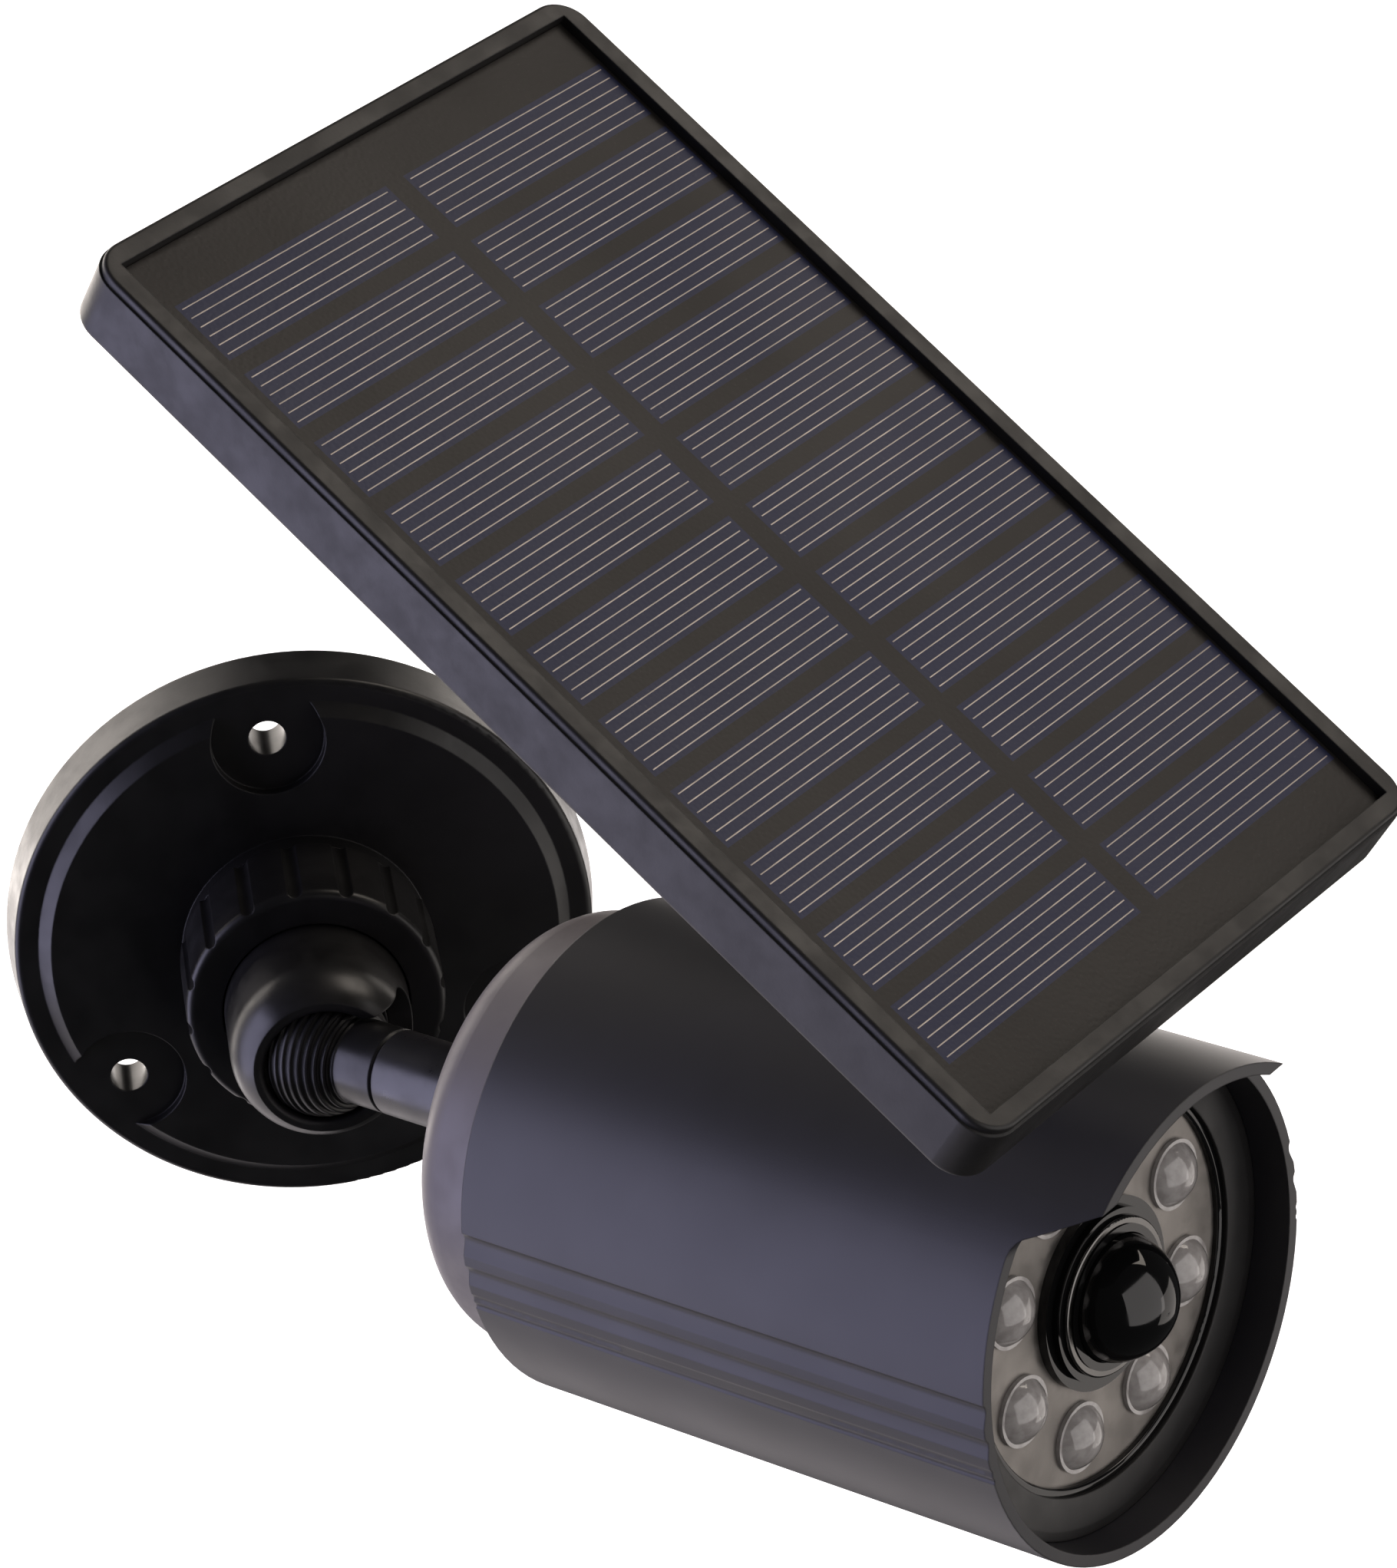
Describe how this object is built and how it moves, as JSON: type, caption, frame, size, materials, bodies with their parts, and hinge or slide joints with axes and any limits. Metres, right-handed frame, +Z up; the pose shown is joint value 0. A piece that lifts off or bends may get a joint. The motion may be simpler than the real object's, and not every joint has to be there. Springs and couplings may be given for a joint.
{
  "type": "solar-powered security camera",
  "caption": "Wall-mounted solar sensor light in camera form: swivel ball arm, hooded round housing with LED ring and sensor dome, tilting solar panel on top.",
  "frame": {"origin": "centre of the wall plate's back face, on the wall", "axes": "+Z up, +Y into the wall, -Y out of the wall, +X along the wall; the housing points to -Y and +X at rest"},
  "size_m": [0.1863, 0.1881, 0.1932],
  "materials": {
    "plate_black": "satin moulded black",
    "socket_black": "smooth satin black",
    "ball_black": "ribbed satin black",
    "arm_black": "black satin coat",
    "tube_black": "blue-black matte anodised",
    "cap_black": "satin moulded dark grey",
    "bezel_black": "moulded black",
    "gloss_black": "polished black",
    "silver_plate": "satin metallised silver",
    "silver_trim": "bright plated",
    "clear_lens": "clear polished",
    "led_chip": "phosphor on white case",
    "white_board": "white solder mask",
    "green_board": "green solder mask",
    "inner_plastic": "moulded",
    "sensor_can": "nickel plated",
    "cell_sleeve": "shrink sleeve",
    "seal_rubber": "moulded",
    "button_rubber": "moulded",
    "switch_black": "moulded",
    "steel": "zinc plated",
    "panel_black": "moulded matte black",
    "pv_backing": "pebbled film, brown-black",
    "pv_cell": "dark blue silicon under film"
  },
  "bodies": {
    "wall_plate": {"wall_plate": "plate_black"},
    "locking_ring": {"locking_ring": "plate_black"},
    "socket": {"swivel_socket": "socket_black", "seat_spring": "steel", "ball_seat": "plate_black"},
    "ball": {"ball_stud": "ball_black"},
    "head": {"arm_tube": "arm_black", "arm_washer": "steel", "arm_nut": "steel", "rear_cap": "cap_black", "rear_gasket": "seal_rubber", "cap_screws": "steel", "body_tube": "tube_black", "front_bezel": "bezel_black", "front_gasket": "seal_rubber", "lens_ring": "gloss_black", "led_plate": "silver_plate", "led_lenses": "clear_lens", "led_chips": "led_chip", "led_board": "white_board", "led_board_screws": "steel", "sensor_collar": "gloss_black", "trim_ring": "silver_trim", "sensor_dome": "gloss_black", "motion_sensor": "sensor_can", "chassis": "inner_plastic", "battery_holder": "inner_plastic", "battery_cell": "cell_sleeve", "control_board": "green_board", "board_screws": "steel", "mode_switch": "switch_black", "panel_saddle": "bezel_black", "saddle_screws": "steel"},
    "button": {"mode_button": "button_rubber"},
    "post": {"panel_post": "arm_black", "post_clip": "steel"},
    "panel": {"panel_bracket": "bezel_black", "bracket_screws": "steel", "tilt_bolt": "steel", "tilt_nut": "steel", "panel_tray": "panel_black", "back_cover": "panel_black", "cover_screws": "steel", "pv_board": "pv_backing", "pv_cells": "pv_cell"}
  },
  "joints": [
    {"name": "ring_turn", "type": "hinge", "parent": "wall_plate", "child": "locking_ring", "pos_m": [0, -0.02, 0], "axis": [0, -1, 0], "range_deg": [0, 120]},
    {"name": "socket_turn", "type": "hinge", "parent": "wall_plate", "child": "socket", "pos_m": [0, -0.041, 0], "axis": [0, -1, 0], "continuous": true},
    {"name": "arm_swing", "type": "hinge", "parent": "socket", "child": "ball", "pos_m": [0, -0.041, 0], "axis": [0, 0, 1], "range_deg": [-61.3, 36.7]},
    {"name": "head_roll", "type": "hinge", "parent": "ball", "child": "head", "pos_m": [0.00994, -0.05155, 0], "axis": [0.6858, -0.7278, 0], "continuous": true},
    {"name": "button_press", "type": "slide", "parent": "head", "child": "button", "axis": [0, 0, 1], "range_m": [0, 0.001], "stiffness_N_per_m": 800, "springref_m": -0.002},
    {"name": "panel_turn", "type": "hinge", "parent": "head", "child": "post", "pos_m": [0.07335, -0.11883, 0.039], "axis": [0, 0, 1], "range_deg": [-170, 170]},
    {"name": "panel_tilt", "type": "hinge", "parent": "post", "child": "panel", "pos_m": [0.07335, -0.11883, 0.0705], "axis": [0.7278, 0.6858, 0], "range_deg": [-70, 10]}
  ]
}
